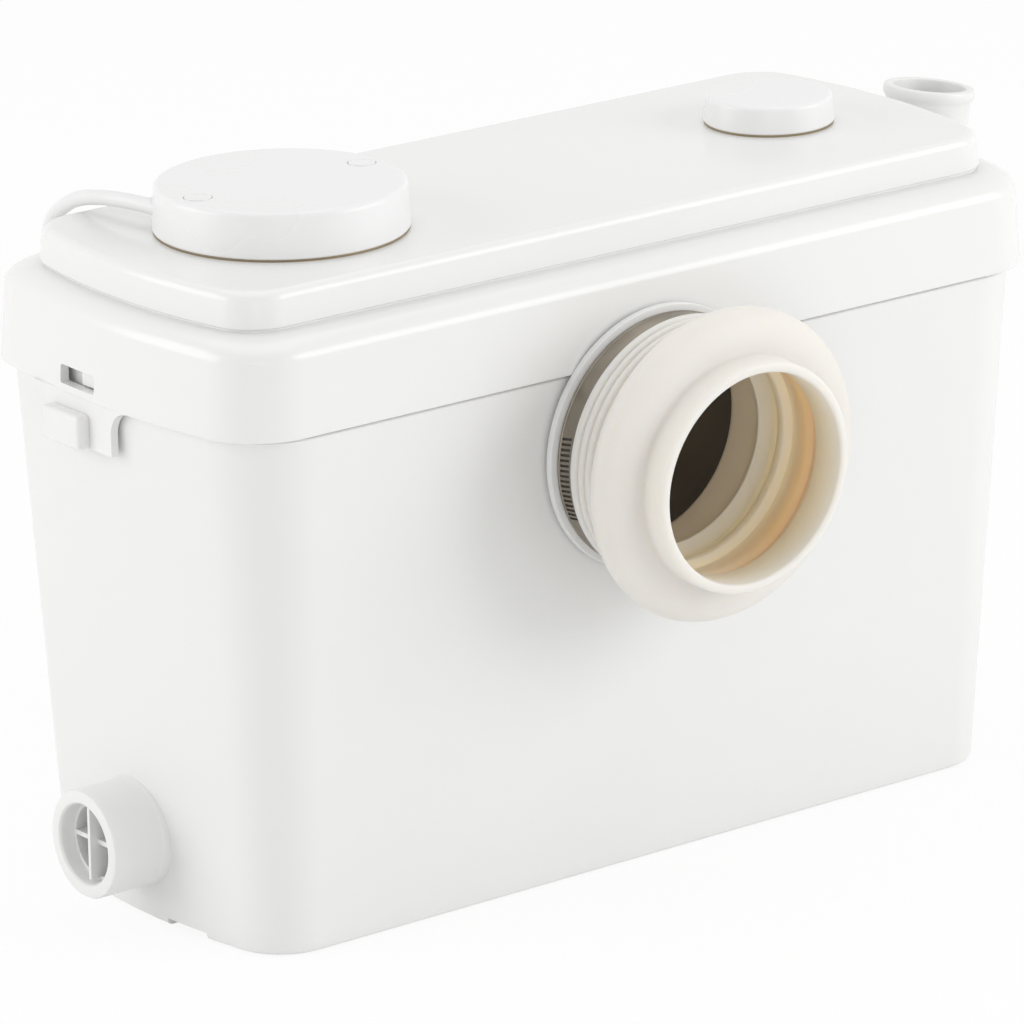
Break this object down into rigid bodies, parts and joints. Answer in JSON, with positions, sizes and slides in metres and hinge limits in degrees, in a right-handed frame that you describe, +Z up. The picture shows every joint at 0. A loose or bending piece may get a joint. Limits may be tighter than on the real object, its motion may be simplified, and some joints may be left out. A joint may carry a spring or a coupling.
{
  "type": "macerator toilet pump",
  "caption": "White plastic macerator box with a ribbed rubber pan sleeve, side inlet, swivelling discharge elbow, motor cap, vent cap and mains cord.",
  "frame": {"origin": "middle of the tank's footprint on the floor", "axes": "+X to the right, +Y to the back, +Z up; the pan sleeve points to -Y"},
  "size_m": [0.508, 0.3914, 0.3018],
  "materials": {
    "white_plastic": "satin moulded",
    "lid_plastic": "gloss moulded",
    "cap_plastic": "semi-gloss moulded",
    "cream_rubber": "soft matt",
    "dark_rubber": "matt",
    "clip_steel": "rolled",
    "pin_steel": "ground",
    "copper": "lacquered copper wire",
    "motor_metal": "cast",
    "black_plastic": "matt",
    "switch_plastic": "matt",
    "cord_plastic": "semi-gloss sheath",
    "plug_pins": "nickel plated"
  },
  "bodies": {
    "housing": {"tank": "white_plastic", "side_inlet_cage": "white_plastic", "pan_spigot": "white_plastic", "lid": "lid_plastic", "lid_latches": "lid_plastic", "motor_cap": "cap_plastic", "motor_cap_plugs": "cap_plastic", "pan_sleeve": "cream_rubber", "lid_seal": "dark_rubber", "motor_cap_gasket": "dark_rubber", "vent_gasket": "dark_rubber", "shaft_seal": "dark_rubber", "diaphragm": "dark_rubber", "inner_hose": "dark_rubber", "sleeve_clip_band": "clip_steel", "sleeve_clip_housing": "clip_steel", "sleeve_clip_screw": "clip_steel", "hose_clips": "clip_steel", "motor_cap_screws": "clip_steel", "pan_flap_pin": "pin_steel", "side_inlet_flap_pin": "pin_steel", "outlet_flap_pin": "pin_steel", "upper_bearing": "pin_steel", "lower_bearing": "pin_steel", "stator": "pin_steel", "windings": "copper", "motor_can": "motor_metal", "motor_seat": "motor_metal", "pump_casing": "black_plastic", "grinder_basket": "black_plastic", "terminal_block": "black_plastic", "cable_grip": "black_plastic", "microswitch": "black_plastic", "carbon_filter": "black_plastic", "pressure_bell": "switch_plastic", "diaphragm_housing": "switch_plastic", "power_cable": "cord_plastic", "cable_coil": "cord_plastic", "cable_tail": "cord_plastic", "cable_tie": "cord_plastic", "mains_plug": "cord_plastic", "mains_pins": "plug_pins"},
    "rotor": {"rotor": "pin_steel", "motor_shaft": "pin_steel", "impeller": "black_plastic", "grinder_blade": "pin_steel"},
    "pan_flap": {"pan_flap": "dark_rubber"},
    "side_flap": {"side_inlet_flap": "dark_rubber"},
    "outlet_flap": {"outlet_flap": "dark_rubber"},
    "elbow": {"discharge_elbow": "white_plastic", "elbow_clip_band": "clip_steel", "elbow_clip_housing": "clip_steel", "elbow_clip_screw": "clip_steel"},
    "vent_cap": {"vent_cap": "cap_plastic"},
    "plunger": {"switch_plunger": "switch_plastic"}
  },
  "joints": [
    {"name": "motor_spin", "type": "hinge", "parent": "housing", "child": "rotor", "pos_m": [-0.1237, -0.001, 0.1], "axis": [0, 0, 1], "continuous": true},
    {"name": "pan_flap_swing", "type": "hinge", "parent": "housing", "child": "pan_flap", "pos_m": [-0.003, -0.08027, 0.24616], "axis": [1, 0, 0], "range_deg": [0, 60]},
    {"name": "side_flap_swing", "type": "hinge", "parent": "housing", "child": "side_flap", "pos_m": [-0.1946, 0.0016, 0.0636], "axis": [0, -1, 0], "range_deg": [0, 25]},
    {"name": "outlet_flap_swing", "type": "hinge", "parent": "housing", "child": "outlet_flap", "pos_m": [0.2139, 0.0344, 0.1886], "axis": [0, -1, 0], "range_deg": [0, 45]},
    {"name": "elbow_swivel", "type": "hinge", "parent": "housing", "child": "elbow", "pos_m": [0.22, 0.0344, 0.178], "axis": [1, 0, 0], "range_deg": [-90, 90]},
    {"name": "vent_cap_lift", "type": "slide", "parent": "housing", "child": "vent_cap", "axis": [0, 0, 1], "range_m": [0, 0.02]},
    {"name": "plunger_slide", "type": "slide", "parent": "housing", "child": "plunger", "axis": [0, 0, 1], "range_m": [0, 0.002], "stiffness_N_per_m": 400}
  ]
}
